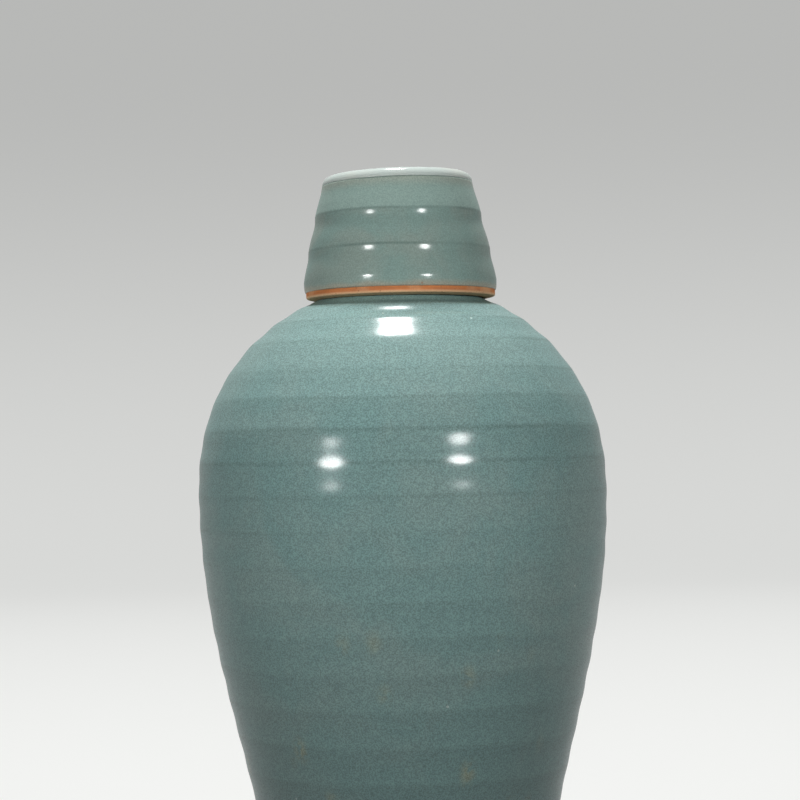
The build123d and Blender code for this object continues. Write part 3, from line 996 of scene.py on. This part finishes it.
class COVERED_VASE_OT_lid_clay(bpy.types.Operator):
    """Turn the lid's clay cup with its bare rim"""

    bl_idname = "covered_vase.lid_clay"
    bl_label = "Lid Clay"

    def execute(self, context):
        lid = context.scene.lid_sizes
        samples = lid.band_samples
        outer = lid.belly_radius - lid.coat
        inner = outer - lid.wall
        edge = lid.rim_edge
        low = lid.rim_height + edge
        hollow = lid_inside(lid, 0, low, samples // 2)[:-1]
        rim = arc((inner + edge, low), edge, 180, 270, EDGE_SAMPLES)
        rim += arc((outer - edge, low + lid.rim_bevel), edge, 270, 360, EDGE_SAMPLES)
        wall = lid_outside(lid, lid.coat, samples // 2) + lid_crown(lid, lid.coat, samples)[1:]
        piece = turn("lid_clay", hollow + rim + [(outer, lid.glaze_line)] + wall, lid.steps)
        settle_lid(piece, lid)
        wear = [lid.rim_height + rise for rise in RIM_WEAR]
        finish = clay_finish("lid_clay", context.scene.vase_finishes, wear)
        set_on_body(piece, "lid", "stoneware", finish, "lid_cup")
        return {"FINISHED"}


class COVERED_VASE_OT_lid_celadon(bpy.types.Operator):
    """Turn the celadon coat of the lid's wall"""

    bl_idname = "covered_vase.lid_celadon"
    bl_label = "Lid Celadon"

    def execute(self, context):
        lid = context.scene.lid_sizes
        samples = lid.band_samples
        seat = [(lid.belly_radius - lid.coat, lid.glaze_line)]
        outside = seat + lid_foot(lid, samples // 2) + lid_outside(lid, 0, samples)
        inside = seat + lid_outside(lid, lid.coat, samples // 4)
        piece = turn("lid_celadon", outside + inside[::-1], lid.steps)
        height = points_of(piece)[2]
        note_rings(piece, [(lid_radius(lid, ring), ring) for ring in lid_rings(lid)[1:]])
        note(piece, "climb", (height - lid.glaze_line) / MM)
        still = STILL_LID * (lid.edge_height - lid.glaze_line)
        middle = np.maximum(rising(height, lid.glaze_line, still), LID_FOOT_SWAY)
        middle *= rising(lid.edge_height - height, 0, still)
        weigh(piece, "middle", middle)
        stray(piece, "lid_ring_sway", "Z", lid.ring_sway, LID_SWAY_GRAIN, "middle")
        settle_lid(piece, lid)
        finish = lid_celadon_finish(context.scene.vase_finishes, lid)
        set_on_body(piece, "lid", "lid_celadon", finish, "lid_celadon_glaze")
        return {"FINISHED"}


class COVERED_VASE_OT_lid_white(bpy.types.Operator):
    """Turn the white coat of the lid's edge and top"""

    bl_idname = "covered_vase.lid_white"
    bl_label = "Lid White"

    def execute(self, context):
        lid = context.scene.lid_sizes
        samples = lid.band_samples
        outline = lid_crown(lid, 0, samples)[::-1] + lid_crown(lid, lid.coat, samples)
        piece = turn("lid_white", outline, lid.steps)
        settle_lid(piece, lid)
        finish = white_finish(context.scene.vase_finishes)
        set_on_body(piece, "lid", "white_glaze", finish, "lid_white_glaze")
        return {"FINISHED"}


class COVERED_VASE_OT_lid_liner(bpy.types.Operator):
    """Turn the glaze inside the lid, in the finish of the glaze inside the vase"""

    bl_idname = "covered_vase.lid_liner"
    bl_label = "Lid Inner Glaze"

    def execute(self, context):
        lid = context.scene.lid_sizes
        samples = lid.band_samples // 2
        glaze = lid_inside(lid, lid.liner, lid.liner_foot, samples)
        clay = lid_inside(lid, 0, lid.liner_foot, samples)
        piece = turn("lid_liner", glaze + clay[::-1], lid.steps)
        settle_lid(piece, lid)
        finish = bpy.data.materials["liner_glaze"]
        set_on_body(piece, "lid", "liner_glaze", finish, "lid_inner_glaze")
        return {"FINISHED"}


class COVERED_VASE_OT_sections(bpy.types.Operator):
    """Give the thrown sections and the slip between them their clay"""

    bl_idname = "covered_vase.sections"
    bl_label = "Thrown Sections"

    def execute(self, context):
        colours = context.scene.vase_finishes
        clay = clay_finish("body_clay", colours, NO_WEAR)
        slip = slip_finish(colours)
        finishes = {"lower_body": clay, "upper_body": clay, "neck": clay}
        finishes.update({"belly_slip": slip, "neck_slip": slip})
        for node, finish in finishes.items():
            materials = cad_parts[node].data.materials
            materials.clear()
            materials.append(finish)
        return {"FINISHED"}


def lamp(name, location, target, power, size, shape="SQUARE"):
    """A softbox aimed at a point."""
    aim = (Vector(target) - Vector(location)).to_track_quat("-Z", "Y").to_euler()
    bpy.ops.object.light_add(type="AREA", location=location, rotation=aim)
    light = bpy.context.active_object
    light.name = name
    light.data.shape = shape
    light.data.size = size
    light.data.energy = power
    light.visible_camera = False
    return light


def around(distance, bearing, height):
    """A place at a distance from the vase's axis, turned from the camera to the right."""
    return distance * sin(bearing), -distance * cos(bearing), height


class COVERED_VASE_OT_stage(bpy.types.Operator):
    """Set the pale backdrop, the softboxes and the camera"""

    bl_idname = "covered_vase.stage"
    bl_label = "Stage"

    def execute(self, context):
        stage = context.scene.vase_stage
        vase = context.scene.vase_sizes
        self.backdrop(stage)
        self.surroundings(context.scene, stage)
        shoulder = (0, 0, vase.belly_height + vase.dome_height / 2)
        key_place = (stage.key_offset, stage.key_setback, stage.key_height)
        lamp("key_softbox", key_place, shoulder, stage.key_power, stage.key_size)
        left = around(stage.front_distance, -stage.left_bearing, stage.left_height)
        right = around(stage.front_distance, stage.right_bearing, stage.right_height)
        for name, spot in (("left_lamp", left), ("right_lamp", right)):
            light = lamp(name, spot, (0, 0, stage.front_aim), stage.front_power, stage.front_size, "DISK")
            light.data.spread = stage.front_spread
        for name, bearing in (("back_left", -stage.back_bearing), ("back_right", stage.back_bearing)):
            spot = around(stage.back_distance, bearing, stage.back_height)
            light = lamp(name, spot, shoulder, stage.back_power, stage.back_size)
            light.visible_glossy = False
        bpy.ops.object.camera_add(
            location=(stage.camera_offset, -stage.camera_distance, stage.camera_height),
            rotation=(pi / 2 + stage.camera_pitch, stage.camera_roll, 0),
        )
        camera = context.active_object
        camera.data.lens = stage.camera_lens
        context.scene.camera = camera
        context.scene.view_settings.view_transform = "Standard"
        return {"FINISHED"}

    def seen(self, recipe):
        """1 for what the camera, a reflection or a clear body sees, 0 for light that bounces."""
        outputs = [f"Is {kind} Ray" for kind in ("Camera", "Glossy", "Transmission")]
        camera, glossy, clear = [recipe.node("ShaderNodeLightPath", {}, {}, output) for output in outputs]
        return camera + glossy + clear

    def backdrop(self, stage):
        """Turns a floor that sweeps up into a wall all round."""
        sweep = stage.backdrop_sweep
        floor = -stage.floor_gap
        outline = [(0, floor), *arc((stage.backdrop_radius, floor + sweep), sweep, -90, 0, SWEEP_SAMPLES)]
        outline.append((stage.backdrop_radius + sweep, stage.backdrop_height))
        piece = turn("backdrop", outline, BACKDROP_STEPS)
        material, recipe = new_finish("backdrop")
        pale = recipe.node("ShaderNodeBsdfDiffuse", {}, {"Color": stage.backdrop})
        height = recipe.height(recipe.where())
        strength = recipe.ease(height, 0.0, stage.backdrop_fade, 1.0, stage.backdrop_shade)
        glow = recipe.node("ShaderNodeEmission", {}, {"Color": stage.backdrop, "Strength": strength})
        bounce = recipe.node("ShaderNodeBsdfDiffuse", {}, {"Color": stage.bounce})
        shown = recipe.node("ShaderNodeMixShader", {}, {0: BACKDROP_GLOW, 1: pale, 2: glow})
        mixed = recipe.node("ShaderNodeMixShader", {}, {0: self.seen(recipe), 1: bounce, 2: shown})
        recipe.node("ShaderNodeOutputMaterial", {}, {"Surface": mixed})
        piece.data.materials.append(material)

    def surroundings(self, scene, stage):
        """A pale world that gives the vase only a little light."""
        scene.world = bpy.data.worlds.new("studio")
        recipe = Recipe(scene.world)
        strength = recipe.ease(self.seen(recipe), 0.0, 1.0, stage.fill, stage.backdrop_shade)
        sockets = {"Color": stage.backdrop, "Strength": strength}
        background = recipe.node("ShaderNodeBackground", {}, sockets)
        recipe.node("ShaderNodeOutputWorld", {}, {"Surface": background})


class COVERED_VASE_PT_sidebar(bpy.types.Panel):
    """Lists the pieces, their sizes and finishes, and the stage"""

    bl_idname = "COVERED_VASE_PT_sidebar"
    bl_label = "Covered Vase"
    bl_space_type = "VIEW_3D"
    bl_region_type = "UI"
    bl_category = "Vase"

    def draw(self, context):
        for operator in OPERATORS:
            self.layout.operator(operator.bl_idname)
        for name, group in GROUPS.items():
            for setting in group.__annotations__:
                self.layout.prop(getattr(context.scene, name), setting)


OPERATORS = (
    COVERED_VASE_OT_sections,
    COVERED_VASE_OT_coat,
    COVERED_VASE_OT_liner,
    COVERED_VASE_OT_foot,
    COVERED_VASE_OT_lid_clay,
    COVERED_VASE_OT_lid_celadon,
    COVERED_VASE_OT_lid_white,
    COVERED_VASE_OT_lid_liner,
    COVERED_VASE_OT_stage,
)
GROUPS = {
    "vase_sizes": VaseSizes,
    "lid_sizes": LidSizes,
    "vase_finishes": Finishes,
    "vase_stage": StageSetup,
}


def register():
    for kind in (*GROUPS.values(), *OPERATORS, COVERED_VASE_PT_sidebar):
        bpy.utils.register_class(kind)
    for name, group in GROUPS.items():
        setattr(bpy.types.Scene, name, PointerProperty(type=group))


def unregister():
    for name in GROUPS:
        delattr(bpy.types.Scene, name)
    for kind in (COVERED_VASE_PT_sidebar, *reversed(OPERATORS), *GROUPS.values()):
        bpy.utils.unregister_class(kind)


def main():
    """Makes every piece and the stage."""
    register()
    bpy.ops.covered_vase.sections()
    bpy.ops.covered_vase.coat()
    bpy.ops.covered_vase.liner()
    bpy.ops.covered_vase.foot()
    bpy.ops.covered_vase.lid_clay()
    bpy.ops.covered_vase.lid_celadon()
    bpy.ops.covered_vase.lid_white()
    bpy.ops.covered_vase.lid_liner()
    bpy.ops.covered_vase.stage()


if __name__ == "__main__":
    main()
